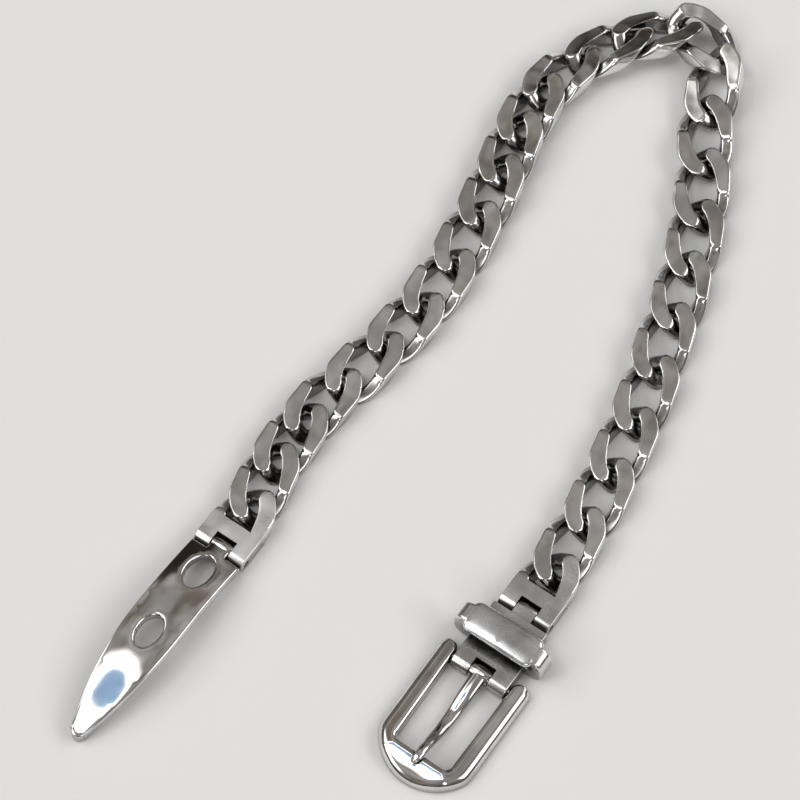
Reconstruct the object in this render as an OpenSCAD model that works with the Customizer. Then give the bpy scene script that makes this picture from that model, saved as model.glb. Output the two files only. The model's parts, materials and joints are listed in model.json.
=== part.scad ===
// Silver curb-link chain bracelet with a clasp made like a small belt buckle.
// It lies open on a flat surface at z = 0, seen with +X to the right and +Y away from the viewer.
// The chain is followed as a walk: from the tongue's end link, through links 1 to 24, to the buckle's.

/* [Chain] */
// Width of the chain across its flat links
chain_width = 7.0; // [6.6:0.1:7.2]
// Thickness of the chain between its two flat faces
chain_thick = 2.24; // [2.1:0.02:2.4]
// Half length of a link's centre line
link_reach = 4.74; // [4.7:0.01:4.78]
// Turn of the wire from a link's middle to its end, in degrees
link_twist = 47.5; // [46:0.5:48]
// Half width of the wire at a link's sides
wire_half = 0.8; // [0.78:0.01:0.82]
// Half width of the wire at a link's ends
wire_half_end = 1.07; // [1.04:0.01:1.08]
// Half height of the wire at a link's sides, before its faces are cut flat
wire_high = 1.2; // [1.16:0.01:1.22]
// Half height of the wire at a link's ends
wire_high_end = 0.75; // [0.72:0.01:0.76]

/* [End links] */
// Width of an end link's plate
end_width = 6.9; // [6.6:0.1:7.2]
// Distance from the middle of an end link's ring to the front of its fork
ring_to_fork = 4.2; // [4:0.1:4.8]
// Width of the notch in each fork
notch_width = 2.8; // [2.4:0.1:3.2]
// Depth of the notch in each fork
notch_deep = 2.2; // [2.2:0.05:2.4]

/* [Pins] */
// Radius of the hinge pins
pin_radius = 0.45; // [0.35:0.05:0.55]
// Radial play of a pin in a piece that it is fixed in
pin_snug = 0.02; // [0.01:0.01:0.03]
// Radial play of a pin in a piece that turns on it
pin_play = 0.05; // [0.03:0.01:0.08]

/* [Tongue] */
// Length of the tongue from its hinge to its tip
tongue_length = 28.5; // [26:0.5:30]
// Width of the tongue
tongue_width = 6.8; // [6.4:0.1:7]
// Thickness of the tongue
tongue_thick = 1.5; // [1.3:0.1:1.7]
// Radius of the tongue's upward arch
tongue_arch = 42; // [38:1:60]
// Distance from the hinge to where the tongue starts to narrow
tongue_taper_start = 12.5; // [11:0.5:14]
// Radius of the tongue's narrowing sides
tongue_taper_radius = 50; // [45:1:60]
// Radius of the tongue's round tip
tongue_tip_radius = 1.25; // [1.2:0.05:1.5]

/* [Buckle] */
// Distance between the buckle plate's two hinge axes
plate_length = 9.25; // [9:0.05:10]
// Width of the buckle plate
plate_width = 7.4; // [7:0.1:7.6]
// Length of the keeper's top bar along the bracelet
keeper_top_length = 3.9; // [3.6:0.1:4.2]
// Width of the keeper's top bar
keeper_top_width = 9.5; // [9:0.1:9.8]
// Width over the keeper's bulging sides
keeper_width = 12.2; // [11.8:0.1:12.6]
// Height of the keeper's top above the surface
keeper_height = 5.2; // [5:0.1:5.6]
// Distance from the buckle's pivot to its far end
frame_length = 15.6; // [15:0.1:16.4]
// Outer width of the buckle frame
frame_width = 12.4; // [12:0.1:13]
// Distance from the pivot to the inner edge of the frame's far bar
frame_inner_length = 12.05; // [11.5:0.05:12.5]
// Height of the frame's top above the surface
frame_height = 2.4; // [2.3:0.05:2.5]

/* [Hidden] */
function link_name(i) = str("link_", i < 10 ? "0" : "", i);

// Links: the squareness of their oval and of their wire's section at the sides and at the ends,
// and how late the twist and the wider wire come
oval_power = 3.27;
section_power = 5;
section_power_end = 2.1;
twist_power = 0.85;
widening_power = 1.2;
link_rings = 24;
link_sides = 8;

// Height of the hinge axes above the surface, and the gaps round their knuckles
axis_high = chain_thick / 2;
hinge_gap = 0.13;
knuckle_radius = axis_high - 0.12;
knuckle_width = notch_width - 0.2;
// How far a knuckle's web reaches into its piece, and how far a pin's ends stay inside
knuckle_reach = 3;
pin_inset = 0.1;
// A length past everything, for cutting, and a small overlap between joined shapes
far = 40;
lap = 0.01;

// Where the walk starts and ends: the middle of the rings of the two end links
start_at = [-21.4, -18.77];
tongue_heading = 55;
buckle_heading = -125;

// The walk, one row a link: length and direction of the step to it, then its own heading,
// its roll (outer side up), how far its nose points down, and how far it is lifted by its neighbours
STEP = 0;
WAY = 1;
HEADING = 2;
ROLL = 3;
NOSE = 4;
LIFT = 5;
walk = [
    [6.4, 62, 65, 0, 0, 0],
    [6.25, 61, 56, 0, 0, 0],
    [6.2, 53, 50, 0, 0, 0],
    [7, 45, 48, -1, 0, 0],
    [7.15, 47, 49, -1, 0, 0],
    [6.85, 54, 56, 0, 0, 0],
    [7.05, 61, 64, 0, 0, 0],
    [6.9, 64, 66, -5, -1, 0],
    [6.35, 67, 67, -9, -1, 0],
    [6.1, 65, 61, -9, -1, 0],
    [6.3, 52, 42, -10, -1, 0],
    [7.05, 32, 22, -18, -5, -0.05],
    [6.2, 17, 9, -20, -3, 0.1],
    [6.1, -11, -46, -6, 10, 0.75],
    [6.15, -82, -103, 18, 5, -0.05],
    [7.2, -101, -94, 8, 0, 0],
    [7.25, -95, -98, 4, 0, 0],
    [6.95, -100, -103, -1, 0, 0],
    [7.3, -105, -104, 1, 0, 0],
    [7.1, -109, -110, -1, 0, 0],
    [7.3, -108, -113, 1, 0, 0],
    [7.2, -113, -116, 0, 0, 0],
    [7.25, -115, -117, -1, 0, 0],
    [7.15, -120, -119, 1, 0, 0]
];

function sum_x(n) = n < 0 ? 0 : walk[n][STEP] * cos(walk[n][WAY]) + sum_x(n - 1);
function sum_y(n) = n < 0 ? 0 : walk[n][STEP] * sin(walk[n][WAY]) + sum_y(n - 1);
// Height of a rolled link's middle when its lower edge is on the surface
function rolled_high(roll) = chain_width / 2 * abs(sin(roll)) + chain_thick / 2 * cos(roll);
function link_place(i) = [start_at[0] + sum_x(i - 1), start_at[1] + sum_y(i - 1),
                          rolled_high(walk[i - 1][ROLL]) + walk[i - 1][LIFT]];

// Signed power, for the rounded-square curves of the links
function sgn_pow(v, p) = sign(v) * pow(abs(v), p);
function unit(v) = v / norm(v);
small_angle = 0.06;

// Twist of the wire at the share u of a link's half length
function twist_at(u) = -link_twist * sgn_pow(u, twist_power);

// A value that goes from the links' sides to their ends as the wire widens
function widening(side, end, u) = side + (end - side) * pow(abs(u), widening_power);

// The wire's centre line at angle t round the link
function wire_centre(t) =
    let (x = link_reach * sgn_pow(cos(t), 2 / oval_power),
         half = widening(wire_half, wire_half_end, x / link_reach),
         y = (chain_width / 2 - half) * sgn_pow(sin(t), 2 / oval_power),
         turn = twist_at(x / link_reach))
    [x, y * cos(turn), y * sin(turn)];

// One ring of points of the wire's section at angle t round the link
function wire_section(t) =
    let (middle = wire_centre(t),
         along = unit(wire_centre(t + small_angle) - wire_centre(t - small_angle)),
         u = middle[0] / link_reach,
         turn = twist_at(u),
         raw = [0, -sin(turn), cos(turn)],
         up = unit(raw - (raw * along) * along),
         out = cross(along, up),
         half = widening(wire_half, wire_half_end, u),
         high = wire_high + (wire_high_end - wire_high) * u * u,
         power = widening(section_power, section_power_end, u))
    [for (j = [0:link_sides - 1])
        let (q = (j + 0.5) * 360 / link_sides)
        middle + half * sgn_pow(cos(q), 2 / power) * out + high * sgn_pow(sin(q), 2 / power) * up];

// A twisted oval ring of wire, before its faces are cut flat
module twisted_ring() {
    points = [for (i = [0:link_rings - 1]) each wire_section((i + 0.5) * 360 / link_rings)];
    faces = [for (i = [0:link_rings - 1], j = [0:link_sides - 1])
        let (a = i * link_sides + j,
             b = i * link_sides + (j + 1) % link_sides,
             c = ((i + 1) % link_rings) * link_sides + (j + 1) % link_sides,
             d = ((i + 1) % link_rings) * link_sides + j)
        each [[a, b, c], [a, c, d]]];
    polyhedron(points = points, faces = faces);
}

// A curb link lying flat about its middle, its length along X
module flat_link() {
    intersection() {
        twisted_ring();
        cube([far, far, chain_thick], center = true);
    }
}

// Places a child as link i of the walk
module as_link(i) {
    row = walk[i - 1];
    translate(link_place(i))
        rotate([row[ROLL], row[NOSE], row[HEADING]])
            children();
}

module pin_hole(radius, width) {
    rotate([90, 0, 0]) cylinder(r = radius, h = width, center = true, $fn = 48);
}

// Stands a side profile up along X and Z, and gives it a width along Y
module stand(width) {
    rotate([90, 0, 0]) translate([0, 0, -width / 2]) linear_extrude(width) children();
}

// An end link: half a ring for the chain, fused with a plate that ends in a fork.
// The ring's middle is the origin and the fork points to +X. The plate starts with a short slope.
module end_link() {
    hinge_x = ring_to_fork - axis_high;
    slope_start = -0.55;
    slope_low = 0.2;
    slope_end = 1.4;
    slope_high = slope_low + (axis_high - slope_low) * (slope_end - slope_start) / -slope_start;
    difference() {
        intersection() {
            union() {
                intersection() {
                    twisted_ring();
                    translate([-far, -far / 2, -far / 2]) cube([far + slope_end, far, far]);
                }
                stand(far)
                    polygon([[slope_start, -2 * axis_high], [slope_start, slope_low], [slope_end, slope_high],
                             [far, slope_high], [far, -2 * axis_high]]);
            }
            stand(end_width) {
                translate([-far, -axis_high]) square([far + hinge_x, chain_thick]);
                translate([hinge_x, 0]) circle(r = axis_high, $fn = 64);
            }
        }
        translate([ring_to_fork - notch_deep, -notch_width / 2, -far / 2]) cube([far, notch_width, far]);
        translate([hinge_x, 0, 0]) pin_hole(pin_radius + pin_snug, far);
    }
}

module as_tongue_end() {
    translate([start_at[0], start_at[1], axis_high]) rotate([0, 0, tongue_heading + 180]) children();
}

// The last step of the walk, to the ring of the buckle's end link: length and direction
end_step = [6.56, -120.9];
end_at = [link_place(24)[0] + end_step[0] * cos(end_step[1]),
          link_place(24)[1] + end_step[0] * sin(end_step[1])];

module as_buckle_end() {
    translate([end_at[0], end_at[1], axis_high]) rotate([0, 0, buckle_heading]) children();
}

// Moves from an end link's ring to its hinge axis
module at_hinge() {
    translate([ring_to_fork - axis_high, 0, 0]) children();
}

// The arch of the tongue: a circle through the hinge and the middle of the tip, whose underside
// then just touches the surface
tip_middle_high = 0.84;
tip_drop = axis_high - tip_middle_high;
arch_chord = norm([tongue_length, tip_drop]);
arch_lean = atan2(-tip_drop, tongue_length);
arch_sag = sqrt(tongue_arch * tongue_arch - arch_chord * arch_chord / 4);
arch_centre = [cos(arch_lean) * arch_chord / 2 + sin(arch_lean) * arch_sag,
               sin(arch_lean) * arch_chord / 2 - cos(arch_lean) * arch_sag];

module arch_profile() {
    translate(arch_centre) difference() {
        circle(r = tongue_arch + tongue_thick / 2, $fn = 180);
        circle(r = tongue_arch - tongue_thick / 2, $fn = 180);
    }
}

// The tongue seen from above: straight sides, then two arcs that nearly meet, cut by a small round tip
module tongue_outline() {
    side_centre = tongue_taper_radius - tongue_width / 2;
    tip_x = tongue_length - tongue_tip_radius;
    translate([axis_high + hinge_gap, -tongue_width / 2])
        square([tongue_taper_start - axis_high - hinge_gap, tongue_width]);
    intersection() {
        translate([tongue_taper_start, -side_centre]) circle(r = tongue_taper_radius, $fn = 180);
        translate([tongue_taper_start, side_centre]) circle(r = tongue_taper_radius, $fn = 180);
        translate([tongue_taper_start - lap, -tongue_width]) square([far, 2 * tongue_width]);
        union() {
            translate([tip_x - far, -tongue_width]) square([far, 2 * tongue_width]);
            translate([tip_x, 0]) circle(r = tongue_tip_radius, $fn = 64);
        }
    }
}

// A slot with round ends, its length along X
module slot(length, width) {
    square([length - width, width], center = true);
    for (side = [-1, 1]) {
        translate([side * (length - width) / 2, 0]) circle(r = width / 2, $fn = 64);
    }
}

// Each hole of the tongue: distance of its middle from the hinge, length and width
tongue_holes = [[4.5, 5.4, 3.6], [14.0, 5.0, 3.4]];

module tongue_body() {
    difference() {
        union() {
            intersection() {
                stand(far) arch_profile();
                union() {
                    translate([0, 0, -far / 2]) linear_extrude(far) tongue_outline();
                    translate([0, -knuckle_width / 2, -far / 2]) cube([knuckle_reach, knuckle_width, far]);
                }
            }
            pin_hole(knuckle_radius, knuckle_width);
        }
        for (hole = tongue_holes) {
            translate([hole[0], 0, -far / 2]) linear_extrude(far) slot(hole[1], hole[2]);
        }
        pin_hole(pin_radius + pin_play, far);
    }
}

// A rectangle with round corners about its middle
module round_rect(x, y, r) {
    square([x - 2 * r, y], center = true);
    square([x, y - 2 * r], center = true);
    for (a = [-1, 1], b = [-1, 1]) {
        translate([a * (x / 2 - r), b * (y / 2 - r)]) circle(r = r, $fn = 64);
    }
}

// The keeper: a closed band across the plate with a flat wider bar on top, from the plate's rear hinge axis
keeper_x = 4.95;
keeper_side_length = 2.4;
keeper_wall = 1.35;
keeper_bar_thick = 1.1;
keeper_corner = 1.6;
keeper_top_corner = 1.0;
// How far the band stays below the top of the bar and above the surface
keeper_band_drop = 0.2;
keeper_bottom = 0.2;

module keeper() {
    top = keeper_height - axis_high;
    bottom = keeper_bottom - axis_high;
    band_top = top - keeper_band_drop;
    slot_top = top - keeper_bar_thick;
    slot_high = slot_top - axis_high;
    difference() {
        union() {
            translate([keeper_x - keeper_side_length / 2, 0, (band_top + bottom) / 2])
                rotate([90, 0, 90])
                    linear_extrude(keeper_side_length)
                        round_rect(keeper_width, band_top - bottom, keeper_corner);
            translate([keeper_x, 0, slot_top])
                linear_extrude(keeper_bar_thick)
                    round_rect(keeper_top_length, keeper_top_width, keeper_top_corner);
        }
        translate([-far / 2, 0, (slot_top + axis_high) / 2])
            rotate([90, 0, 90])
                linear_extrude(far)
                    round_rect(keeper_width - 2 * keeper_wall, slot_high, slot_high / 2 - lap);
    }
}

module plate_body() {
    back = axis_high + hinge_gap;
    difference() {
        union() {
            stand(plate_width) {
                translate([back, -axis_high]) square([plate_length - back, chain_thick]);
                translate([plate_length, 0]) circle(r = axis_high, $fn = 64);
            }
            translate([0, -knuckle_width / 2, -knuckle_radius])
                cube([knuckle_reach, knuckle_width, 2 * knuckle_radius]);
            pin_hole(knuckle_radius, knuckle_width);
            keeper();
        }
        translate([plate_length + axis_high - notch_deep, -notch_width / 2, -far / 2])
            cube([far, notch_width, far]);
        pin_hole(pin_radius + pin_play, far);
        translate([plate_length, 0, 0]) pin_hole(pin_radius + pin_snug, far);
    }
}

module at_pivot() {
    translate([plate_length, 0, 0]) children();
}

// The frame, from its pivot: a U with a domed top, wide far bar and round arm ends
frame_side_gap = 0.15;
frame_inner_far = 7.3;
frame_tail = 1.5;
frame_dome = 22;
frame_end_radius = 6.7;
frame_slope = 10;
frame_slope_start = 10.5;
frame_inner_corner = 0.8;
// The groove that the tip of the prong lies in, and how far it reaches past the bar's inner edge
groove_radius = 0.8;
groove_deep = 0.5;
groove_reach = 1.6;
buckle_pin_length = frame_width - 1.8;

module frame_outline() {
    inner_near = plate_width / 2 + frame_side_gap;
    inner_far = frame_inner_far / 2;
    corner_x = frame_inner_length - frame_inner_corner;
    corner_y = inner_far - frame_inner_corner;
    turn = frame_length - frame_end_radius;
    difference() {
        intersection() {
            translate([-frame_tail, -frame_width / 2]) square([frame_tail + frame_length, frame_width]);
            union() {
                translate([-far / 2, -far / 2]) square([far / 2 + turn, far]);
                translate([turn, 0]) circle(r = frame_end_radius, $fn = 96);
            }
        }
        polygon([[-far, -inner_near], [0, -inner_near], [corner_x, -inner_far],
                 [corner_x, inner_far], [0, inner_near], [-far, inner_near]]);
        translate([corner_x - lap, -corner_y]) square([frame_inner_corner + lap, 2 * corner_y]);
        for (side = [-1, 1]) {
            translate([corner_x, side * corner_y]) circle(r = frame_inner_corner, $fn = 48);
        }
    }
}

module frame_body() {
    top = frame_height - axis_high;
    difference() {
        intersection() {
            translate([0, 0, -axis_high]) linear_extrude(frame_height) frame_outline();
            translate([0, 0, top - frame_dome])
                rotate([0, 90, 0]) cylinder(r = frame_dome, h = 2 * far, center = true, $fn = 180);
            stand(far) {
                translate([0, -axis_high]) square([frame_slope_start, frame_height]);
                circle(r = frame_tail, $fn = 64);
                intersection() {
                    translate([frame_slope_start, top - frame_slope]) circle(r = frame_slope, $fn = 180);
                    translate([frame_slope_start - lap, -axis_high]) square([far, frame_height]);
                }
            }
        }
        pin_hole(pin_radius + pin_play, buckle_pin_length + 2 * pin_inset);
        translate([frame_inner_length - 1, 0, top + groove_radius - groove_deep])
            rotate([0, 90, 0]) cylinder(r = groove_radius, h = 1 + groove_reach, $fn = 48);
    }
}

// The prong, one row a section: place along the buckle, height, half width and half height
prong_rows = [
    [0.5, 0.3, 0.95, 0.62],
    [3.0, 0.05, 0.92, 0.58],
    [5.6, -0.45, 0.8, 0.52],
    [8.2, -0.25, 0.7, 0.5],
    [10.4, 0.65, 0.62, 0.47],
    [12.0, 1.28, 0.58, 0.42],
    [13.5, 1.3, 0.4, 0.32]
];
prong_steps = 2;
prong_sides = 8;

// A smooth curve through the rows of a table at place s, which counts rows
function smooth_row(rows, s) =
    let (i = min(floor(s), len(rows) - 2), f = s - i,
         a = rows[max(i - 1, 0)], b = rows[i], c = rows[i + 1], d = rows[min(i + 2, len(rows) - 1)])
    0.5 * (2 * b + (c - a) * f + (2 * a - 5 * b + 4 * c - d) * f * f + (3 * b - a - 3 * c + d) * f * f * f);

module prong_bar() {
    rings = (len(prong_rows) - 1) * prong_steps;
    rows = [for (k = [0:rings]) smooth_row(prong_rows, k / prong_steps)];
    points = [for (k = [0:rings])
        let (before = rows[max(k - 1, 0)], after = rows[min(k + 1, rings)],
             lean = atan2(after[1] - before[1], after[0] - before[0]))
        for (j = [0:prong_sides - 1])
            let (q = j * 360 / prong_sides,
                 up = rows[k][3] * sin(q))
            [rows[k][0] - up * sin(lean), rows[k][2] * cos(q), rows[k][1] + up * cos(lean)]];
    walls = [for (k = [0:rings - 1], j = [0:prong_sides - 1])
        let (a = k * prong_sides + j, b = k * prong_sides + (j + 1) % prong_sides)
        each [[a, b + prong_sides, b], [a, a + prong_sides, b + prong_sides]]];
    start = [for (j = [0:prong_sides - 1]) j];
    finish = [for (j = [prong_sides - 1:-1:0]) rings * prong_sides + j];
    polyhedron(points = points, faces = concat(walls, [start], [finish]));
}

module prong_body() {
    difference() {
        union() {
            pin_hole(knuckle_radius, knuckle_width);
            prong_bar();
        }
        pin_hole(pin_radius + pin_play, far);
    }
}

module link(i) {
    color("silver") as_link(i) flat_link();
}

module tongue_end() {
    color("gainsboro") as_tongue_end() end_link();
}

module tongue() {
    color("darkgray") as_tongue_end() at_hinge() tongue_body();
}

module tongue_pin() {
    color("lightgray") as_tongue_end() at_hinge() pin_hole(pin_radius, end_width - 2 * pin_inset);
}

module buckle_end() {
    color("gainsboro") as_buckle_end() end_link();
}

module buckle_plate() {
    color("darkgray") as_buckle_end() at_hinge() plate_body();
}

module plate_pin() {
    color("lightgray") as_buckle_end() at_hinge() pin_hole(pin_radius, end_width - 2 * pin_inset);
}

module buckle_frame() {
    color("silver") as_buckle_end() at_hinge() at_pivot() frame_body();
}

module prong() {
    color("gray") as_buckle_end() at_hinge() at_pivot() prong_body();
}

module buckle_pin() {
    color("lightgray") as_buckle_end() at_hinge() at_pivot() pin_hole(pin_radius, buckle_pin_length);
}

for (i = [1:24]) {
    link(i);
}
tongue_end();
tongue();
tongue_pin();
buckle_end();
buckle_plate();
plate_pin();
buckle_frame();
prong();
buckle_pin();
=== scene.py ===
import json
import math

import bpy
import numpy as np
from mathutils import Matrix, Vector
from mathutils.geometry import delaunay_2d_cdt


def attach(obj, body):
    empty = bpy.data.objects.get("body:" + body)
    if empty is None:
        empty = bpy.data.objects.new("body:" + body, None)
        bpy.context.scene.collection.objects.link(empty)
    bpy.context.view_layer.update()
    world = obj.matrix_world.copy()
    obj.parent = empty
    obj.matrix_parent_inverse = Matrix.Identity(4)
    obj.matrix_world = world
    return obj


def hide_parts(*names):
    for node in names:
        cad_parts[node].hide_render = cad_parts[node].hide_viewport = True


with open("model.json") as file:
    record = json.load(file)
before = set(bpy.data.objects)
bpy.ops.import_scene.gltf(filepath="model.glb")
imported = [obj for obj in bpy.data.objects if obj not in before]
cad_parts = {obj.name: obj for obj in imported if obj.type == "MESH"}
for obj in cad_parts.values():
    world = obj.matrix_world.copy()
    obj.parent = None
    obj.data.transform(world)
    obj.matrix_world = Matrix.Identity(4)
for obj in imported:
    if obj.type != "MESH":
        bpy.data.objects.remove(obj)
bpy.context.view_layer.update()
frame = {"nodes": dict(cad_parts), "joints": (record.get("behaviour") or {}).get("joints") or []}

MM = 0.001

# Chain
CHAIN_WIDTH = 7.0
CHAIN_THICK = 2.24
LINK_REACH = 4.74
LINK_TWIST = math.radians(47.5)
WIRE_HALF = 0.8
WIRE_HALF_END = 1.07
WIRE_HIGH = 1.2
WIRE_HIGH_END = 0.75
OVAL_POWER = 3.27
SECTION_POWER = 5.0
SECTION_POWER_END = 2.1
TWIST_POWER = 0.85
WIDENING_POWER = 1.2
LINK_COUNT = 24

# How finely a link is made: rings round it, points of the fine path round its wire, points kept over each
# flat and down each side, and the least reach of a flat in points of the fine path
LINK_RINGS = 112
FINE_POINTS = 720
FLAT_POINTS = 9
SIDE_POINTS = 12
LEAST_REACH = 14
RIM = 0.17

# Keeps the smooth links within the faceted ones
LINK_FIT = 0.994

AXIS_HIGH = CHAIN_THICK / 2

# End links
END_LENGTH = 4.2
END_WIDTH = 6.9
END_EDGE = 0.12
END_SLOPE_START = -0.55
END_SLOPE_LOW = 0.2
END_SLOPE_END = 0.0
END_RING_REACH = 0.1
RING_TO_HINGE = END_LENGTH - AXIS_HIGH
NOTCH_WIDTH = 2.8
NOTCH_DEPTH = 2.2
KNUCKLE_RADIUS = AXIS_HIGH - 0.12
KNUCKLE_WIDTH = NOTCH_WIDTH - 0.2
KNUCKLE_EDGE = 0.1
KNUCKLE_BACK = AXIS_HIGH + 0.13
PIN_RADIUS = 0.45
PIN_PLAY = 0.05
PIN_HOLD = 0.02

# Tongue
TONGUE_LENGTH = 28.5
TONGUE_WIDTH = 6.8
TONGUE_THICK = 1.5
TONGUE_ARCH = 42.0
TONGUE_CROWN = 0.02
TAPER_START = 12.5
TAPER_RADIUS = 50.0
TIP_RADIUS = 0.95
TONGUE_TIP_HIGH = 0.84
TONGUE_EDGE = 0.22
TONGUE_GRID = 0.6

# The tongue's oval holes: middle, length and width
TONGUE_HOLES = [(4.5, 5.4, 3.6), (14.0, 5.0, 3.4)]
HOLE_EDGE = 0.35

# Buckle plate, keeper and frame
PLATE_LENGTH = 9.25
PLATE_WIDTH = 7.4
PLATE_EDGE = 0.15
KEEPER_X = 4.95
KEEPER_SIDE_LENGTH = 2.4
KEEPER_WIDTH = 12.2
KEEPER_TOP = (3.9, 9.5)
KEEPER_HEIGHT = 5.2
KEEPER_BAR = 1.1
KEEPER_WALL = 1.35
KEEPER_CORNER = 1.6
KEEPER_LIFT = 0.2
KEEPER_EDGE = 0.35
KEEPER_SLOT_EDGE = 0.15
KEEPER_TOP_CORNER = 1.0
KEEPER_TOP_EDGE = 0.45
KEEPER_TOP_GRID = 0.7
KEEPER_CROWN = (0.03, 0.008)
FRAME_LENGTH = 15.6
FRAME_WIDTH = 12.4
FRAME_INNER_LENGTH = 12.05
FRAME_INNER_FAR = 7.3
FRAME_HEIGHT = 2.4
FRAME_TAIL = 1.5
FRAME_TAIL_ROUND = 1.0
FRAME_DOME = 22.0
FRAME_END_RADIUS = 6.7
FRAME_SLOPE = 10.0
FRAME_SLOPE_START = 10.5
FRAME_CORNER = 0.8
FRAME_GAP = 0.15
FRAME_LEAST = 0.05

# The rounding of the frame's section at its full height: outer, inner and low edges, and the share of the
# height that the outer one may take
FRAME_EDGE_OUT = 1.15
FRAME_EDGE_IN = 0.8
FRAME_EDGE_LOW = 0.2
FRAME_EDGE_SHARE = 0.75

# The groove that the prong's tip rests in
GROOVE_RADIUS = 0.8
GROOVE_LIFT = 0.3
GROOVE_REACH = 1.6
GROOVE_PLACES = [0.8, 0.76, 0.7, 0.6, 0.45, 0.25]

# The prong, one row a section: place along the buckle, height, half width and half height
PRONG_ROWS = [
    (0.5, 0.3, 0.95, 0.62),
    (3.0, 0.05, 0.92, 0.58),
    (5.6, -0.45, 0.8, 0.52),
    (8.2, -0.25, 0.7, 0.5),
    (10.4, 0.65, 0.62, 0.47),
    (12.0, 1.28, 0.58, 0.42),
    (13.5, 1.3, 0.4, 0.32),
]
PRONG_RINGS = 61
PRONG_SIDES = 24
PRONG_SQUARE = 0.85
PRONG_TIP_RINGS = 7
PRONG_TIP_FALL = 6.3
PRONG_KNUCKLE_EDGE = 0.12

# Painted shade: the darker colour painted into the silver where neighbours hem it in, standing in for shade
# and dark reflections in the crevices, and how far from a neighbour it reaches
CREVICE_PAINTED_SHADE = (0.28, 0.27, 0.26)
CREVICE_SHADE_REACH = 4.0

# The silver's noises: scale, detail and stretch
BLOTCH = (350.0, 3.0, (1, 1, 1))
SCRATCH = (900.0, 4.0, (1, 9, 1))
MOTTLE = (220.0, 2.0, (1, 1, 1))
WAVE = (260.0, 1.0, (1, 1, 1))
SCRATCH_DEPTH = 0.0012

# Camera: what it looks at, its height in degrees, its distance, and the photo's scale in pixels a millimetre
CAMERA_AIM = (-2.5, -1.77, 0)
CAMERA_LIFT = 65
CAMERA_AWAY = 420
CAMERA_SENSOR = 36
PICTURE_SIZE = 800
PICTURE_SCALE = 8.4

# Studio light: the floor, the room's colour by height and its patches, and soft panels, each with its
# azimuth, elevation, inner and outer angle and colour
FLOOR = (0.90, 0.895, 0.89)
FLOOR_HALF = 600
ROOM = [
    (0.0, (0.07, 0.065, 0.06)),
    (0.35, (0.13, 0.12, 0.11)),
    (0.7, (0.24, 0.22, 0.205)),
    (0.95, (0.25, 0.235, 0.22)),
]
TONES = [(0.36, (0.68, 0.62, 0.56)), (0.64, (1.5, 1.55, 1.62))]
PANELS = [
    (180, 71, 9, 18, (5.0, 5.0, 5.0)),
    (173, 74, 6, 10, (0.27, 0.42, 0.62)),
    (200, 36, 8, 18, (3.2, 3.15, 3.1)),
    (155, 42, 8, 18, (2.2, 2.2, 2.15)),
    (-20, 36, 8, 18, (3.2, 3.2, 3.25)),
    (22, 40, 10, 20, (2.4, 2.4, 2.4)),
    (275, 33, 6, 16, (2.5, 2.5, 2.5)),
    (92, 34, 11, 15, (0.03, 0.022, 0.018)),
]


# Frames and mesh making

def joint_frame(name):
    """The matrix of a hinge: origin on its axis, X towards the free end, Z up, in metres."""
    joint = next(j for j in frame["joints"] if j["name"] == name)
    ax, ay, _ = joint["axis"]
    turn = Matrix(((-ay, -ax, 0), (ax, -ay, 0), (0, 0, 1))).to_4x4()
    return Matrix.Translation(joint["pos_m"]) @ turn


def link_frame(node):
    """The matrix of a link, from the volume of its CAD solid: the middle, and the long and short axes."""
    mesh = frame["nodes"][node].data
    mesh.calc_loop_triangles()
    points = np.array([v.co for v in mesh.vertices])
    tri = points[np.array([t.vertices for t in mesh.loop_triangles])]
    weight = np.einsum("ij,ij->i", tri[:, 0], np.cross(tri[:, 1], tri[:, 2]))
    middle = (weight[:, None] * tri.sum(1)).sum(0) / 4 / weight.sum()
    tri = tri - middle
    weight = np.einsum("ij,ij->i", tri[:, 0], np.cross(tri[:, 1], tri[:, 2]))
    total = tri.sum(1)
    moments = np.einsum("i,ij,ik->jk", weight, total, total) + np.einsum("i,inj,ink->jk", weight, tri, tri)
    _, axes = np.linalg.eigh(moments)
    x, z = Vector(axes[:, 2]), Vector(axes[:, 0])
    turn = Matrix((x, z.cross(x), z)).transposed().to_4x4()
    return Matrix.Translation(Vector(middle)) @ turn


def make(name, points, faces, place=None, smooth=70):
    """A mesh object from points in millimetres. Edges sharper than smooth degrees stay sharp."""
    mesh = bpy.data.meshes.new(name)
    place = place or Matrix.Identity(4)
    mesh.from_pydata([place @ (Vector(p) * MM) for p in points], [], faces)
    mesh.validate()
    mesh.shade_smooth()
    mesh.set_sharp_from_angle(angle=math.radians(smooth))
    obj = bpy.data.objects.new(name, mesh)
    bpy.context.scene.collection.objects.link(obj)
    return obj


def combine(obj, other, operation):
    """Joins another closed mesh to obj, or cuts it away, and drops the other."""
    step = obj.modifiers.new(operation.lower(), "BOOLEAN")
    step.operation = operation
    step.solver = "MANIFOLD"
    step.object = other
    bpy.context.view_layer.update()
    shown = obj.evaluated_get(bpy.context.evaluated_depsgraph_get())
    mesh = bpy.data.meshes.new_from_object(shown)
    obj.modifiers.clear()
    obj.data = mesh
    bpy.data.objects.remove(other)
    return obj


def settle(obj, name, smooth=40):
    """Names a joined piece and shades it: flats stay flat and rounded edges smooth."""
    obj.name = name
    obj.data.name = name
    obj.data.shade_smooth()
    obj.data.set_sharp_from_angle(angle=math.radians(smooth))
    even = obj.modifiers.new("even normals", "WEIGHTED_NORMAL")
    even.keep_sharp = True
    return obj


def tube_faces(rings, sides, closed):
    """Quads between rings of points; the last ring joins the first where the tube is closed."""
    faces = []
    for i in range(rings if closed else rings - 1):
        a, b = i * sides, (i + 1) % rings * sides
        faces += [(a + j, b + j, b + (j + 1) % sides, a + (j + 1) % sides) for j in range(sides)]
    if not closed:
        faces.append(tuple(range(sides)))
        faces.append(tuple(reversed(range((rings - 1) * sides, rings * sides))))
    return faces


# Outlines

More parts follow.
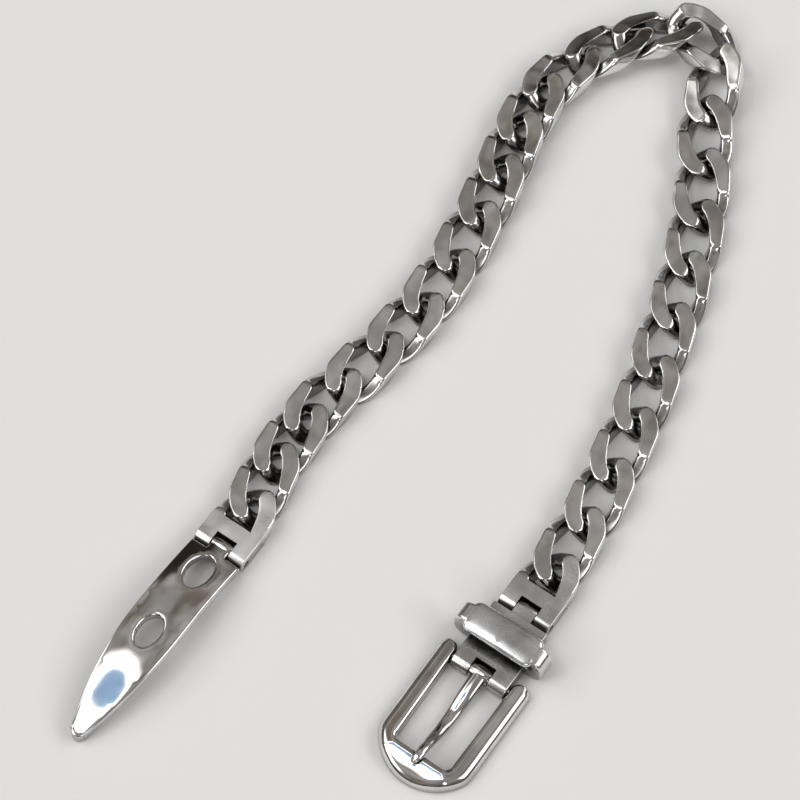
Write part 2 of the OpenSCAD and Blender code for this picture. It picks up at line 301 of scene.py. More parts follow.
def arc(centre, radius, start, end, count):
    """Points along an arc between two angles in degrees."""
    turn = np.radians(np.linspace(start, end, count))
    return np.stack([centre[0] + radius * np.cos(turn), centre[1] + radius * np.sin(turn)], 1)


def round_rect(x, y, radius, count=9):
    """A rectangle with round corners about its middle, counter-clockwise."""
    corners = [(x / 2 - radius, y / 2 - radius, 0), (radius - x / 2, y / 2 - radius, 90),
               (radius - x / 2, radius - y / 2, 180), (x / 2 - radius, radius - y / 2, 270)]
    return np.concatenate([arc((cx, cy), radius, a, a + 90, count) for cx, cy, a in corners])


def spaced(loop, step):
    """The same closed outline with points no further apart than step, its corners kept."""
    out = []
    for a, b in zip(loop, np.roll(loop, -1, 0)):
        count = max(1, math.ceil(np.linalg.norm(b - a) / step))
        out += [a + (b - a) * k / count for k in range(count)]
    return np.array(out)


def inset(loop, depth):
    """The outline moved inwards by depth; a hole is given clockwise, so that it grows."""
    before, after = loop - np.roll(loop, 1, 0), np.roll(loop, -1, 0) - loop
    before /= np.linalg.norm(before, axis=1)[:, None]
    after /= np.linalg.norm(after, axis=1)[:, None]
    left = np.stack([-before[:, 1] - after[:, 1], before[:, 0] + after[:, 0]], 1)
    left /= np.linalg.norm(left, axis=1)[:, None]
    half = np.sqrt(np.clip((1 + (before * after).sum(1)) / 2, 0.25, 1))
    return loop + left * (depth / half)[:, None]


def edge_profile(radius, low, high, steps=4):
    """The rings of a plate's rounded edge, bottom to top: how far inwards and how high each stands."""
    rings = []
    for k in range(steps + 1):
        turn = math.pi / 2 * (1 - k / steps)
        rings.append((radius * (1 - math.cos(turn)), low + radius * (1 - math.sin(turn))))
    return rings + [(depth, high - (z - low)) for depth, z in reversed(rings)]


def grid_points(rims, grid):
    """Points of a grid in an outline, in none of its holes and not too close to an edge."""
    every = np.concatenate(rims)
    reach = np.abs(every[:, 1]).max()
    found = []
    for x in np.arange(every[:, 0].min(), every[:, 0].max(), grid):
        for y in np.arange(-math.floor(reach / grid) * grid, reach, grid):
            if inside((x, y), rims) and np.linalg.norm(every - (x, y), axis=1).min() > grid * 0.45:
                found.append((x, y))
    return found


def slab(loops, low, high, edges, grid=0.0):
    """A plate between two heights with rounded edges. The first loop is its outline, the rest are holes,
    clockwise. edges gives each loop's edge radius, and grid the spacing of points inside, for a plate that
    is bent later."""
    points, faces, tops, bottoms = [], [], [], []
    for loop, radius in zip(loops, edges):
        profile = edge_profile(radius, low, high)
        size = len(loop)
        first = len(points)
        last = first + (len(profile) - 1) * size
        for depth, z in profile:
            points += [(x, y, z) for x, y in inset(loop, depth)]
        for a in range(first, last, size):
            b = a + size
            faces += [(a + j, a + (j + 1) % size, b + (j + 1) % size, b + j) for j in range(size)]
        bottoms += range(first, first + size)
        tops.append(range(last, last + size))
    rims = [np.array([points[i][:2] for i in top]) for top in tops]
    tops = [i for top in tops for i in top]
    fill(points, faces, rims, tops, bottoms, (low, high), grid)
    return points, faces


def fill(points, faces, rims, tops, bottoms, heights, grid):
    """Adds a plate's top and bottom within its rims, whose points are tops and bottoms."""
    low, high = heights
    pairs = []
    for rim in rims:
        first = len(pairs)
        pairs += [(first + j, first + (j + 1) % len(rim)) for j in range(len(rim))]
    inner = grid_points(rims, grid) if grid else []
    flat = [Vector(p) for rim in rims for p in rim] + [Vector(p) for p in inner]
    found = delaunay_2d_cdt(flat, pairs, [], 0, 1e-7)
    vertices, triangles, origin = found[0], found[2], found[3]
    upper, lower = {}, {}
    for i, v in enumerate(vertices):
        known = [o for o in origin[i] if o < len(tops)]
        if known:
            upper[i], lower[i] = tops[known[0]], bottoms[known[0]]
        else:
            upper[i], lower[i] = len(points), len(points) + 1
            points += [(v.x, v.y, high), (v.x, v.y, low)]
    for tri in triangles:
        middle = sum((vertices[i] for i in tri), Vector((0, 0))) / 3
        if inside(middle, rims):
            faces.append(tuple(upper[i] for i in tri))
            faces.append(tuple(lower[i] for i in reversed(tri)))


def inside(point, rims):
    """True where a point is in the outline and in none of its holes."""
    x, y = point
    count = 0
    for rim in rims:
        a, b = rim, np.roll(rim, -1, 0)
        crosses = (a[:, 1] > y) != (b[:, 1] > y)
        at = a[:, 0] + (y - a[:, 1]) * (b[:, 0] - a[:, 0]) / np.where(crosses, b[:, 1] - a[:, 1], 1)
        count += int((crosses & (at > x)).sum())
    return count % 2 == 1


def rod(radius, width, edge=0.0, sides=48, centre=(0, 0)):
    """A cylinder along Y about centre in X and Z, with rounded rims."""
    end = -width / 2
    profile = [(end, radius)]
    if edge:
        profile = [(end, radius - edge), (end + edge * 0.3, radius - edge * 0.3), (end + edge, radius)]
    profile += [(-y, r) for y, r in reversed(profile)]
    points = []
    for y, r in profile:
        points += [(x, y, z) for x, z in arc(centre, r, 0, 360 * (1 - 1 / sides), sides)]
    return points, tube_faces(len(profile), sides, False)


def box(low, high):
    """The corners and faces of a box, for cutting."""
    points = [(x, y, z) for x in (low[0], high[0]) for y in (low[1], high[1]) for z in (low[2], high[2])]
    return points, [(0, 1, 3, 2), (4, 6, 7, 5), (0, 4, 5, 1), (2, 3, 7, 6), (0, 2, 6, 4), (1, 5, 7, 3)]


# Links

def power(v, p):
    """The power of a value's size, with the value's sign."""
    return np.sign(v) * np.abs(v) ** p


def widening(side, end, u):
    """A value that goes from the link's sides to its ends as the wire widens."""
    return side + (end - side) * np.abs(u) ** WIDENING_POWER


def wire_centre(t):
    """The wire's centre line at angle t round the link, and the twist there."""
    x = LINK_REACH * power(np.cos(t), 2 / OVAL_POWER)
    half = widening(WIRE_HALF, WIRE_HALF_END, x / LINK_REACH)
    y = (CHAIN_WIDTH / 2 - half) * power(np.sin(t), 2 / OVAL_POWER)
    turn = -LINK_TWIST * power(x / LINK_REACH, TWIST_POWER)
    return np.stack([x, y * np.cos(turn), y * np.sin(turn)], -1), turn


def even_angles(count):
    """Angles round the link whose points on the centre line are evenly spaced."""
    t = np.linspace(0, 2 * np.pi, 4001)
    length = np.concatenate([[0], np.cumsum(np.linalg.norm(np.diff(wire_centre(t)[0], axis=0), axis=1))])
    return np.interp((np.arange(count) + 0.5) / count * length[-1], length, t)


def cut_section(middle, out, up, u):
    """One ring of the link: the wire's section with its top and bottom cut flat and the rims rounded."""
    q = np.linspace(0, 2 * np.pi, FINE_POINTS + 1)[:-1]
    half = widening(WIRE_HALF, WIRE_HALF_END, u)
    high = WIRE_HIGH + (WIRE_HIGH_END - WIRE_HIGH) * u * u
    square = 2 / widening(SECTION_POWER, SECTION_POWER_END, u)
    across = half * power(np.cos(q), square)
    lift = high * power(np.sin(q), square)
    path = middle + across[:, None] * out + lift[:, None] * up
    path = np.roll(path, -int(path[:, 2].argmax()), 0)
    low_at = int(path[:, 2].argmin())
    right = path[:low_at + 1]
    left = np.concatenate([path[low_at:], path[:1]])[::-1]
    right_top, right_low = crossing(right, AXIS_HIGH), crossing(right[::-1], -AXIS_HIGH)
    left_top, left_low = crossing(left, AXIS_HIGH), crossing(left[::-1], -AXIS_HIGH)
    parts = [
        flat_part(left, left_top, right, right_top, AXIS_HIGH),
        side_part(right, right_top, len(right) - 1 - right_low),
        flat_part(right[::-1], right_low, left[::-1], left_low, -AXIS_HIGH),
        side_part(left[::-1], left_low, len(left) - 1 - left_top),
    ]
    ring = np.concatenate([resample(part, number % 2 == 0) for number, part in enumerate(parts)])
    rounded = ring.copy()
    for rim in (0, FLAT_POINTS, FLAT_POINTS + SIDE_POINTS, 2 * FLAT_POINTS + SIDE_POINTS):
        rounded[rim] = 0.5 * ring[rim] + 0.25 * ring[rim - 1] + 0.25 * ring[(rim + 1) % len(ring)]
    return rounded


def crossing(part, level):
    """How far along a path, in points, it leaves the flat at a level."""
    beyond = part[:, 2] > level if level > 0 else part[:, 2] < level
    k = int(np.argmin(beyond))
    if k == 0:
        return float(LEAST_REACH)
    share = (part[k - 1, 2] - level) / (part[k - 1, 2] - part[k, 2])
    return max(float(LEAST_REACH), k - 1 + share)


def at(part, s):
    """The point at s, counted in points, of a path."""
    k = min(int(s), len(part) - 2)
    return part[k] + (part[k + 1] - part[k]) * (s - k)


def flat_part(first, a, second, b, level):
    """The path over a flat: from a on the first side, past the top, to b on the second side."""
    back = [at(first, a)] + [first[k] for k in range(int(math.ceil(a)) - 1, -1, -1)]
    on = [second[k] for k in range(1, int(math.ceil(b)))] + [at(second, b)]
    path = np.array(back + on)
    beyond = path[:, 2] > level if level > 0 else path[:, 2] < level
    if beyond.any():
        hit = np.flatnonzero(beyond)
        start = path[max(hit[0] - 1, 0)]
        end = path[min(hit[-1] + 1, len(path) - 1)]
        share = np.linspace(0, 1, len(hit) + 2)[1:-1, None]
        path[hit] = start + (end - start) * share
        path[hit, 2] = level
    return path


def side_part(part, a, b):
    """The path down one side, from a to b."""
    middle = [part[k] for k in range(int(math.floor(a)) + 1, int(math.ceil(b)))]
    return np.array([at(part, a)] + middle + [at(part, b)])


def resample(path, flat):
    """Points along a path over a flat or down a side, without its last one and closer near both ends."""
    count = FLAT_POINTS if flat else SIDE_POINTS
    length = np.concatenate([[0], np.cumsum(np.linalg.norm(np.diff(path, axis=0), axis=1))])
    whole = length[-1]
    step = min(RIM, whole / 7)
    near = [0, step]
    far = [whole - step]
    if flat:
        near = [0, step, 2 * step]
        far = [whole - 2 * step, whole - step]
    inner = np.linspace(near[-1], far[0], count - len(near) - len(far) + 2)[1:-1]
    s = np.concatenate([near, inner, far])
    return np.stack([np.interp(s, length, path[:, k]) for k in range(3)], 1)


def link_shape():
    """The points and faces of one curb link lying flat about its middle."""
    angles = even_angles(LINK_RINGS)
    small = 1e-3
    middle, turn = wire_centre(angles)
    along = wire_centre(angles + small)[0] - wire_centre(angles - small)[0]
    along /= np.linalg.norm(along, axis=1)[:, None]
    up = np.stack([0 * turn, -np.sin(turn), np.cos(turn)], -1)
    up -= (up * along).sum(1)[:, None] * along
    up /= np.linalg.norm(up, axis=1)[:, None]
    out = np.cross(along, up)
    rings = [cut_section(middle[i], out[i], up[i], middle[i, 0] / LINK_REACH) for i in range(LINK_RINGS)]
    return np.concatenate(rings) * LINK_FIT, tube_faces(LINK_RINGS, len(rings[0]), True)


# The clasp's pieces

def end_link(place, name):
    """An end link: half a ring of the chain fused with a plate that ends in a fork."""
    body = make("ring", *LINK, place)
    body = combine(body, make("half", *box((-20, -20, -20), (END_RING_REACH, 20, 20)), place), "INTERSECT")
    profile = np.concatenate([
        [(END_SLOPE_START, -AXIS_HIGH)],
        arc((RING_TO_HINGE, 0), AXIS_HIGH, -90, 90, 21),
        [(END_SLOPE_END, AXIS_HIGH), (END_SLOPE_START, END_SLOPE_LOW)],
    ])
    body = combine(body, make("plate", *upright(profile, END_WIDTH, END_EDGE), place), "UNION")
    notch = box((END_LENGTH - NOTCH_DEPTH, -NOTCH_WIDTH / 2, -5), (10, NOTCH_WIDTH / 2, 5))
    body = combine(body, make("notch", *notch, place), "DIFFERENCE")
    bore = rod(PIN_RADIUS + PIN_HOLD, 12, centre=(RING_TO_HINGE, 0))
    return settle(combine(body, make("bore", *bore, place), "DIFFERENCE"), name)


def upright(profile, width, edge):
    """A side profile in X and Z, given a width along Y, with rounded edges."""
    points, faces = slab([spaced(profile, 1.2)], -width / 2, width / 2, [edge])
    return [(x, -y, z) for x, z, y in points], faces


def tongue_outline():
    """Straight sides, two arcs that meet in a round tip, and a tab for the knuckle."""
    side = TAPER_RADIUS - TONGUE_WIDTH / 2
    reach = TONGUE_LENGTH - TIP_RADIUS - TAPER_START
    lean = math.atan2(reach, side)
    tip_turn = 90 - math.degrees(lean)
    top = arc((TAPER_START, -side), TAPER_RADIUS, 90, tip_turn, 60)
    top = top[top[:, 1] > TIP_RADIUS * math.cos(lean) * 0.98]
    tip = arc((TONGUE_LENGTH - TIP_RADIUS, 0), TIP_RADIUS, tip_turn, -tip_turn, 21)
    tab = KNUCKLE_WIDTH / 2
    start = [(0.0, tab), (0.0, -tab), (KNUCKLE_BACK, -tab), (KNUCKLE_BACK, -TONGUE_WIDTH / 2)]
    end = [(KNUCKLE_BACK, TONGUE_WIDTH / 2), (KNUCKLE_BACK, tab)]
    return np.concatenate([start, top * (1, -1), tip[::-1], top[::-1], end])


def slot_outline(x, length, width):
    """An oval hole, clockwise. Its edge takes it to its full size at the faces."""
    loop = arc((0, 0), 1, 0, 350, 36) * (length / 2 - HOLE_EDGE, width / 2 - HOLE_EDGE)
    return (loop + (x, 0))[::-1]


def tongue_piece(place):
    """The arched tongue with its two bevelled holes and its knuckle."""
    tip_drop = AXIS_HIGH - TONGUE_TIP_HIGH
    chord = math.hypot(TONGUE_LENGTH, tip_drop)
    lean = math.atan2(-tip_drop, TONGUE_LENGTH)
    sag = math.sqrt(TONGUE_ARCH ** 2 - chord ** 2 / 4)
    cx = math.cos(lean) * chord / 2 + math.sin(lean) * sag
    cz = math.sin(lean) * chord / 2 - math.cos(lean) * sag
    loops = [spaced(tongue_outline(), 0.5)] + [slot_outline(*hole) for hole in TONGUE_HOLES]
    edges = [TONGUE_EDGE, HOLE_EDGE, HOLE_EDGE]
    points, faces = slab(loops, -TONGUE_THICK / 2, TONGUE_THICK / 2, edges, TONGUE_GRID)
    points = [(x, y, w - TONGUE_CROWN * y * y if w > 0 else w) for x, y, w in points]
    bent = [(x, y, cz + math.sqrt((TONGUE_ARCH + w) ** 2 - (x - cx) ** 2)) for x, y, w in points]
    body = make("tongue", bent, faces, place)
    body = combine(body, make("knuckle", *rod(KNUCKLE_RADIUS, KNUCKLE_WIDTH, KNUCKLE_EDGE), place), "UNION")
    body = combine(body, make("bore", *rod(PIN_RADIUS + PIN_PLAY, 8), place), "DIFFERENCE")
    return settle(body, "tongue_smooth")


def keeper_parts(place):
    """The keeper's two parts: a band with a slot in it, and a domed bar on top."""
    top = KEEPER_HEIGHT - AXIS_HIGH
    slot_top = top - KEEPER_BAR
    slot_high = slot_top - AXIS_HIGH
    low, high = KEEPER_LIFT - AXIS_HIGH, top - KEEPER_LIFT
    outline = round_rect(KEEPER_WIDTH, high - low, KEEPER_CORNER) + (0, (high + low) / 2)
    hole = round_rect(KEEPER_WIDTH - 2 * KEEPER_WALL, slot_high, slot_high / 2 - 0.05)
    hole = (hole + (0, (slot_top + AXIS_HIGH) / 2))[::-1]
    edges = [KEEPER_EDGE, KEEPER_SLOT_EDGE]
    points, faces = slab([spaced(outline, 1), spaced(hole, 1)], 0, KEEPER_SIDE_LENGTH, edges)
    points = [(KEEPER_X - KEEPER_SIDE_LENGTH / 2 + x, y, z) for y, z, x in points]
    band = make("band", points, faces, place)
    outline = round_rect(*KEEPER_TOP, KEEPER_TOP_CORNER) + (KEEPER_X, 0)
    points, faces = slab([spaced(outline, 0.5)], slot_top, top, [KEEPER_TOP_EDGE], KEEPER_TOP_GRID)
    along, across = KEEPER_CROWN
    domed = []
    for x, y, z in points:
        fall = across * y * y + along * (x - KEEPER_X) ** 2
        domed.append((x, y, z - (z - slot_top) * fall))
    return band, make("bar", domed, faces, place)


def plate_piece(place):
    """The buckle plate with its knuckle, its fork and the keeper."""
    profile = np.concatenate([
        [(KNUCKLE_BACK, -AXIS_HIGH)],
        arc((PLATE_LENGTH, 0), AXIS_HIGH, -90, 90, 21),
        [(KNUCKLE_BACK, AXIS_HIGH)],
    ])
    body = make("plate", *upright(profile, PLATE_WIDTH, PLATE_EDGE), place)
    web = box((0, -KNUCKLE_WIDTH / 2, -KNUCKLE_RADIUS), (3, KNUCKLE_WIDTH / 2, KNUCKLE_RADIUS))
    body = combine(body, make("web", *web, place), "UNION")
    body = combine(body, make("knuckle", *rod(KNUCKLE_RADIUS, KNUCKLE_WIDTH, KNUCKLE_EDGE), place), "UNION")
    for part in keeper_parts(place):
        body = combine(body, part, "UNION")
    notch = box((PLATE_LENGTH + AXIS_HIGH - NOTCH_DEPTH, -NOTCH_WIDTH / 2, -5), (20, NOTCH_WIDTH / 2, 5))
    body = combine(body, make("notch", *notch, place), "DIFFERENCE")
    body = combine(body, make("bore", *rod(PIN_RADIUS + PIN_PLAY, 9), place), "DIFFERENCE")
    bore = rod(PIN_RADIUS + PIN_HOLD, 9, centre=(PLATE_LENGTH, 0))
    return settle(combine(body, make("bore", *bore, place), "DIFFERENCE"), "buckle_plate_smooth")


def frame_top(x, y):
    """Height of the frame's top: a dome across, and a slope down at the far end."""
    top = FRAME_HEIGHT - AXIS_HIGH
    z = top - FRAME_DOME + math.sqrt(FRAME_DOME ** 2 - y * y)
    if x > FRAME_SLOPE_START:
        z = min(z, top - FRAME_SLOPE + math.sqrt(FRAME_SLOPE ** 2 - (x - FRAME_SLOPE_START) ** 2))
    if x < 0:
        z = min(z, math.sqrt(max(FRAME_TAIL ** 2 - x * x, 0.0)))
    groove = GROOVE_RADIUS ** 2 - y * y
    if x < FRAME_INNER_LENGTH + GROOVE_REACH and groove > 0:
        z = min(z, top + GROOVE_LIFT - math.sqrt(groove))
    return z


def frame_stations():
    """Pairs of an inner and an outer point round the U of the frame, from one arm's end to the other's."""
    near = PLATE_WIDTH / 2 + FRAME_GAP
    far = FRAME_INNER_FAR / 2
    turn = FRAME_LENGTH - FRAME_END_RADIUS
    cx, cy = FRAME_INNER_LENGTH - FRAME_CORNER, far - FRAME_CORNER
    half = []
    tail = -FRAME_TAIL * np.cos(np.radians(np.linspace(4, 90, 12)))
    for x in np.concatenate([tail, np.linspace(0, cx, 24)[1:]]):
        inner = near + (far - near) * max(x, 0) / cx
        half.append(((x, inner), (x, FRAME_WIDTH / 2)))
    start = np.array([cx - turn, cy])
    for lean in np.radians(np.linspace(0, 90, 17)[1:]):
        way = np.array([math.sin(lean), math.cos(lean)])
        b = start @ way
        reach = -b + math.sqrt(b * b - start @ start + FRAME_END_RADIUS ** 2)
        reach = min(reach, (FRAME_WIDTH / 2 - cy) / max(way[1], 1e-6))
        half.append(((cx, cy) + FRAME_CORNER * way, (cx, cy) + reach * way))
    for y in [*np.linspace(cy, 0.9, 8)[1:], *GROOVE_PLACES, 0.0]:
        half.append(((FRAME_INNER_LENGTH, y), (turn + math.sqrt(FRAME_END_RADIUS ** 2 - y * y), y)))
    whole = np.array(half)
    return np.concatenate([whole, whole[:-1][::-1] * (1, -1)])


def quarter(count):
    """Sines and cosines over a quarter turn."""
    return [(math.sin(turn), math.cos(turn)) for turn in np.radians(np.linspace(0, 90, count))]


def frame_section(inner, outer):
    """The points round the frame's section from an inner to an outer point."""
    past = (-inner[0] - FRAME_TAIL + FRAME_TAIL_ROUND) / FRAME_TAIL_ROUND
    if past > 0:
        draw_in = FRAME_TAIL_ROUND * (1 - math.sqrt(max(1 - past * past, 0))) * np.sign(outer[1] - inner[1])
        inner, outer = inner + (0, draw_in), outer - (0, draw_in)
    width = np.linalg.norm(outer - inner)
    bottom = -AXIS_HIGH
    if inner[0] < 0:
        bottom = max(-math.sqrt(max(FRAME_TAIL ** 2 - inner[0] ** 2, 0)), -AXIS_HIGH)
    room = min(1.0, max(FRAME_LEAST, (frame_top(*inner) - bottom) / FRAME_HEIGHT))
    r_out = min(FRAME_EDGE_OUT * room, FRAME_EDGE_SHARE * max(frame_top(*outer) - bottom, FRAME_LEAST))
    r_in = FRAME_EDGE_IN * room
    r_low = FRAME_EDGE_LOW * room

    # Each point's place across, and its height or else its drop below the frame's top
    section = [(width - r_low + r_low * s, bottom + r_low - r_low * c, None) for s, c in quarter(5)]
    section += [(width - r_out + r_out * c, None, r_out - r_out * s) for s, c in quarter(8)]
    section += [(u, None, 0.0) for u in np.linspace(width - r_out, r_in, 8)[1:-1]]
    section += [(r_in - r_in * s, None, r_in - r_in * c) for s, c in quarter(5)]
    section += [(r_low - r_low * c, bottom + r_low - r_low * s, None) for s, c in quarter(5)]
    points = []
    for u, z, drop in section:
        x, y = inner + (outer - inner) * u / width
        points.append((x, y, z if drop is None else frame_top(x, y) - drop))
    return points


def frame_piece(place):
    """The domed U of the buckle, as rings of points round its section."""
    stations = frame_stations()
    outer = stations[:, 1]
    for _ in range(3):
        outer[14:-14] = (outer[13:-15] + 2 * outer[14:-14] + outer[15:-13]) / 4
    sections = [frame_section(*pair) for pair in stations]
    points = sum(sections, [])
    body = make("frame", points, tube_faces(len(sections), len(sections[0]), False), place)
    return settle(body, "buckle_frame_smooth", 60)


def smooth_row(s):
    """A smooth curve through the prong's rows at place s, which counts rows."""
    last = len(PRONG_ROWS) - 1
    i = min(int(s), last - 1)
    f = s - i
    a, b, c, d = (np.array(PRONG_ROWS[min(max(k, 0), last)]) for k in range(i - 1, i + 3))
    square = 2 * a - 5 * b + 4 * c - d
    cube = 3 * b - a - 3 * c + d
    return 0.5 * (2 * b + (c - a) * f + square * f * f + cube * f ** 3)


def prong_piece(place):
    """The prong: a bar that dips and rises to the frame's far end, with a round knuckle."""
    rows = [smooth_row(s) for s in np.linspace(0, len(PRONG_ROWS) - 1, PRONG_RINGS)]
    points = []
    for k, (along, height, half, high) in enumerate(rows):
        before, after = rows[max(k - 1, 0)], rows[min(k + 1, PRONG_RINGS - 1)]
        lean = math.atan2(after[1] - before[1], after[0] - before[0])
        past = max(k - PRONG_RINGS + PRONG_TIP_RINGS, 0) / PRONG_TIP_FALL
        end = math.sqrt(max(1 - past * past, 0.01))
        for q in np.linspace(0, 2 * math.pi, PRONG_SIDES, endpoint=False):
            up = high * end * float(power(math.sin(q), PRONG_SQUARE))
            side = half * end * float(power(math.cos(q), PRONG_SQUARE))
            points.append((along - up * math.sin(lean), side, height + up * math.cos(lean)))
    faces = [tuple(reversed(face)) for face in tube_faces(PRONG_RINGS, PRONG_SIDES, False)]
    body = make("bar", points, faces, place)
    knuckle = rod(KNUCKLE_RADIUS, KNUCKLE_WIDTH, PRONG_KNUCKLE_EDGE)
    body = combine(body, make("knuckle", *knuckle, place), "UNION")
    body = combine(body, make("bore", *rod(PIN_RADIUS + PIN_PLAY, 8), place), "DIFFERENCE")
    return settle(body, "prong_smooth")


# Materials

def silver(name, tint, rough, wavy):
    """Polished silver: fine scratches, a soft unevenness, and painted shade where pieces meet: a darker base
    colour painted in by ambient occlusion.
    """
    mat = bpy.data.materials.new(name)
    mat.use_nodes = True
    nodes, links = mat.node_tree.nodes, mat.node_tree.links
    shader = nodes["Principled BSDF"]
    shader.inputs["Metallic"].default_value = 1.0
    where = nodes.new("ShaderNodeTexCoord")

    def noise(scale, detail, stretch):
        """A noise on the piece, turned so that the scratches run askew."""
        turn = nodes.new("ShaderNodeMapping")
        turn.inputs["Scale"].default_value = stretch
        turn.inputs["Rotation"].default_value = (0.2, 0.1, 0.7)
        links.new(where.outputs["Object"], turn.inputs["Vector"])
        tex = nodes.new("ShaderNodeTexNoise")
        tex.inputs["Scale"].default_value = scale
        tex.inputs["Detail"].default_value = detail
        links.new(turn.outputs["Vector"], tex.inputs["Vector"])
        return tex.outputs["Fac"]

    def ranged(value, low, high, start, end):
        """A value's range from low to high, made to run from start to end."""
        step = nodes.new("ShaderNodeMapRange")
        for key, number in (("From Min", low), ("From Max", high), ("To Min", start), ("To Max", end)):
            step.inputs[key].default_value = number
        links.new(value, step.inputs["Value"])
        return step.outputs["Result"]

    def blend(low, high):
        """A mix node between two colours; a colour that is None is left for a link."""
        node = nodes.new("ShaderNodeMix")
        node.data_type = "RGBA"
        for socket, value in ((6, low), (7, high)):
            if value is not None:
                node.inputs[socket].default_value = (*value, 1)
        return node

    scratch = noise(*SCRATCH)
    mixed = nodes.new("ShaderNodeMath")
    mixed.operation = "ADD"
    links.new(ranged(noise(*BLOTCH), 0.3, 0.7, rough * 0.6, rough * 1.3), mixed.inputs[0])
    links.new(ranged(scratch, 0.5, 0.75, 0.0, rough * 0.25), mixed.inputs[1])
    links.new(mixed.outputs["Value"], shader.inputs["Roughness"])

    mottled = blend([0.8 * c for c in tint], [min(1.12 * c, 0.95) for c in tint])
    links.new(ranged(noise(*MOTTLE), 0.38, 0.62, 0.0, 1.0), mottled.inputs[0])
    # Painted shade: ambient occlusion darkens the base colour towards the crevice colour wherever a
    # neighbour is near
    painted_shade_ao = nodes.new("ShaderNodeAmbientOcclusion")
    painted_shade_ao.inputs["Distance"].default_value = CREVICE_SHADE_REACH * MM
    painted_shade_ao.samples = 6
    colour = blend(CREVICE_PAINTED_SHADE, None)
    links.new(mottled.outputs[2], colour.inputs[7])
    links.new(ranged(painted_shade_ao.outputs["AO"], 0.6, 0.96, 0.0, 1.0), colour.inputs[0])
    links.new(colour.outputs[2], shader.inputs["Base Color"])

    height = nodes.new("ShaderNodeMath")
    height.operation = "ADD"
    links.new(noise(*WAVE), height.inputs[0])
    links.new(ranged(scratch, 0.5, 0.75, 0.0, SCRATCH_DEPTH), height.inputs[1])
    bump = nodes.new("ShaderNodeBump")
    bump.inputs["Strength"].default_value = 0.6
    bump.inputs["Distance"].default_value = wavy * MM
    links.new(height.outputs["Value"], bump.inputs["Height"])
    links.new(bump.outputs["Normal"], shader.inputs["Normal"])
    return mat


def wear(obj, mat):
    """Gives a piece its one material."""
    obj.data.materials.clear()
    obj.data.materials.append(mat)
    return obj


# The scene: floor, light and camera

def stage():
    """A pale floor under a soft studio sky."""
    corners = [(x * FLOOR_HALF, y * FLOOR_HALF, 0) for x, y in ((-1, -1), (1, -1), (1, 1), (-1, 1))]
    floor = make("floor", corners, [(0, 1, 2, 3)])
    paint = bpy.data.materials.new("floor_pale")
    paint.use_nodes = True
    shader = paint.node_tree.nodes["Principled BSDF"]
    shader.inputs["Base Color"].default_value = (*FLOOR, 1)
    shader.inputs["Roughness"].default_value = 0.9
    wear(floor, paint)
    sky()


def ramp(tree, value, rows):
    """The colour at a value, from rows of a place and a colour."""
    node = tree.nodes.new("ShaderNodeValToRGB")
    tree.links.new(value, node.inputs[0])
    elements = node.color_ramp.elements
    while len(elements) < len(rows):
        elements.new(0.5)
    for element, (place, colour) in zip(elements, rows):
        element.position = place
        element.color = (*colour, 1)
    return node.outputs["Color"]


def panel(tree, where, behind, row):
    """The sky with one more soft panel before it."""
    turn, lift, inner, outer = (math.radians(angle) for angle in row[:4])
    middle = (math.cos(lift) * math.cos(turn), math.cos(lift) * math.sin(turn), math.sin(lift))
    facing = tree.nodes.new("ShaderNodeVectorMath")
    facing.operation = "DOT_PRODUCT"
    tree.links.new(where, facing.inputs[0])
    facing.inputs[1].default_value = middle
    share = tree.nodes.new("ShaderNodeMapRange")
    share.interpolation_type = "SMOOTHSTEP"
    share.inputs["From Min"].default_value = math.cos(outer)
    share.inputs["From Max"].default_value = math.cos(inner)
    tree.links.new(facing.outputs["Value"], share.inputs["Value"])
    mix = tree.nodes.new("ShaderNodeMix")
    mix.data_type = "RGBA"
    tree.links.new(share.outputs["Result"], mix.inputs[0])
    tree.links.new(behind, mix.inputs[6])
    mix.inputs[7].default_value = (*row[4], 1)
    return mix.outputs[2]


def sky():
    """The studio light: a grey room with soft patches, and a few wide soft light panels."""
    world = bpy.data.worlds.new("studio")
    bpy.context.scene.world = world
    world.use_nodes = True
    tree = world.node_tree
    where = tree.nodes.new("ShaderNodeTexCoord").outputs["Generated"]
    height = tree.nodes.new("ShaderNodeSeparateXYZ")
    tree.links.new(where, height.inputs[0])
    patches = tree.nodes.new("ShaderNodeTexNoise")
    patches.inputs["Scale"].default_value = 7.0
    patches.inputs["Detail"].default_value = 1.5
    tree.links.new(where, patches.inputs["Vector"])
    toned = tree.nodes.new("ShaderNodeMix")
    toned.data_type = "RGBA"
    toned.blend_type = "MULTIPLY"
    toned.inputs[0].default_value = 1.0
    tree.links.new(ramp(tree, height.outputs["Z"], ROOM), toned.inputs[6])
    tree.links.new(ramp(tree, patches.outputs["Fac"], TONES), toned.inputs[7])
    colour = toned.outputs[2]
    for row in PANELS:
        colour = panel(tree, where, colour, row)
    tree.links.new(colour, tree.nodes["Background"].inputs["Color"])


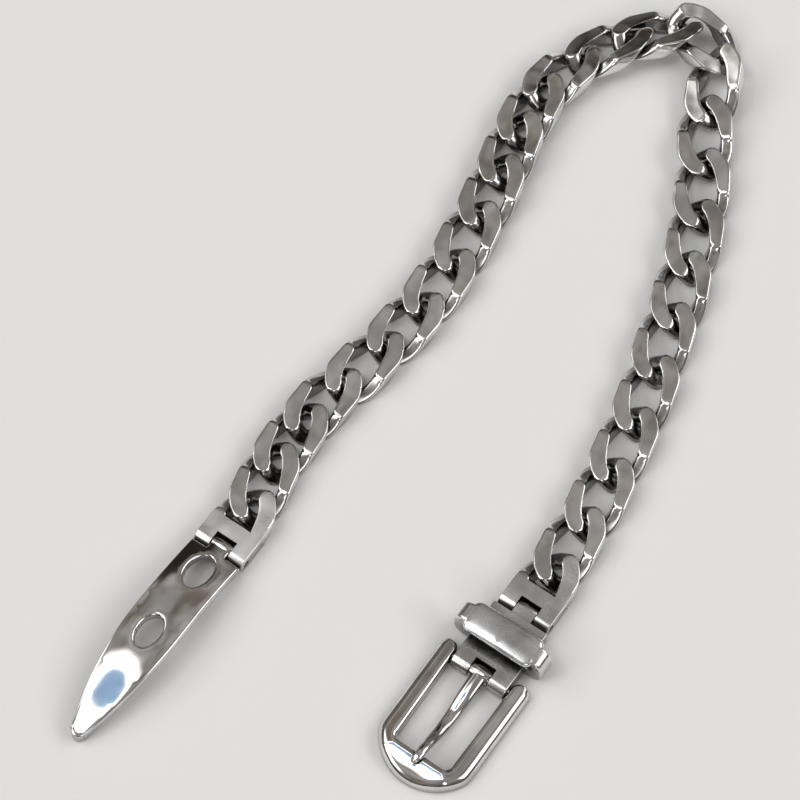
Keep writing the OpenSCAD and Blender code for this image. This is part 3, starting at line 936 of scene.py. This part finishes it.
def camera():
    """The photograph's view: from the front and above, with the photo's scale."""
    lift = math.radians(CAMERA_LIFT)
    data = bpy.data.cameras.new("camera")
    data.sensor_width = CAMERA_SENSOR
    data.lens = CAMERA_SENSOR * PICTURE_SCALE * CAMERA_AWAY / PICTURE_SIZE
    data.clip_start = 0.01
    cam = bpy.data.objects.new("camera", data)
    cam.location = (Vector(CAMERA_AIM) + Vector((0, -math.cos(lift), math.sin(lift))) * CAMERA_AWAY) * MM
    cam.rotation_euler = (math.pi / 2 - lift, 0, 0)
    bpy.context.scene.collection.objects.link(cam)
    bpy.context.scene.camera = cam


stage()
camera()
bpy.context.scene.view_settings.view_transform = "Standard"

# The metals, each with its tint, roughness and waviness
chain_mat = silver("silver_chain", (0.84, 0.835, 0.825), 0.17, 0.3)
clasp_mat = silver("silver_clasp", (0.83, 0.82, 0.81), 0.08, 0.06)
satin_mat = silver("silver_satin", (0.88, 0.875, 0.87), 0.33, 0.08)
plate_mat = silver("silver_plate", (0.86, 0.86, 0.86), 0.24, 0.08)
pin_mat = silver("silver_pins", (0.84, 0.83, 0.81), 0.14, 0.05)

# The chain
LINK = link_shape()
for number in range(1, LINK_COUNT + 1):
    node = f"link_{number:02d}"
    piece = wear(make(node + "_smooth", *LINK, link_frame(node)), chain_mat)
    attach(piece, "chain")
    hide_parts(node)

tongue_hinge = joint_frame("tongue_hinge")
plate_hinge = joint_frame("plate_hinge")
pivot = joint_frame("frame_pivot")
to_ring = Matrix.Translation((-RING_TO_HINGE * MM, 0, 0))

# The clasp: each piece with the node that it replaces, the body that it rides on, its material and slot
tongue_end = end_link(tongue_hinge @ to_ring, "tongue_end_smooth")
buckle_end = end_link(plate_hinge @ to_ring, "buckle_end_smooth")
for piece, node, body, mat, slot in (
    (tongue_end, "tongue_end", "chain", satin_mat, "chain_silver"),
    (buckle_end, "buckle_end", "chain", plate_mat, "chain_silver"),
    (tongue_piece(tongue_hinge), "tongue", "tongue_tip", clasp_mat, "clasp_silver"),
    (plate_piece(plate_hinge), "buckle_plate", "plate", plate_mat, "clasp_silver"),
    (frame_piece(pivot), "buckle_frame", "frame", clasp_mat, "clasp_silver"),
    (prong_piece(pivot), "prong", "prong_arm", clasp_mat, "clasp_silver"),
):
    wear(piece, mat)
    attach(piece, body)
    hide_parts(node)

# The pins stay as the CAD has them
for node in ("tongue_pin", "plate_pin", "buckle_pin"):
    wear(frame["nodes"][node], pin_mat)
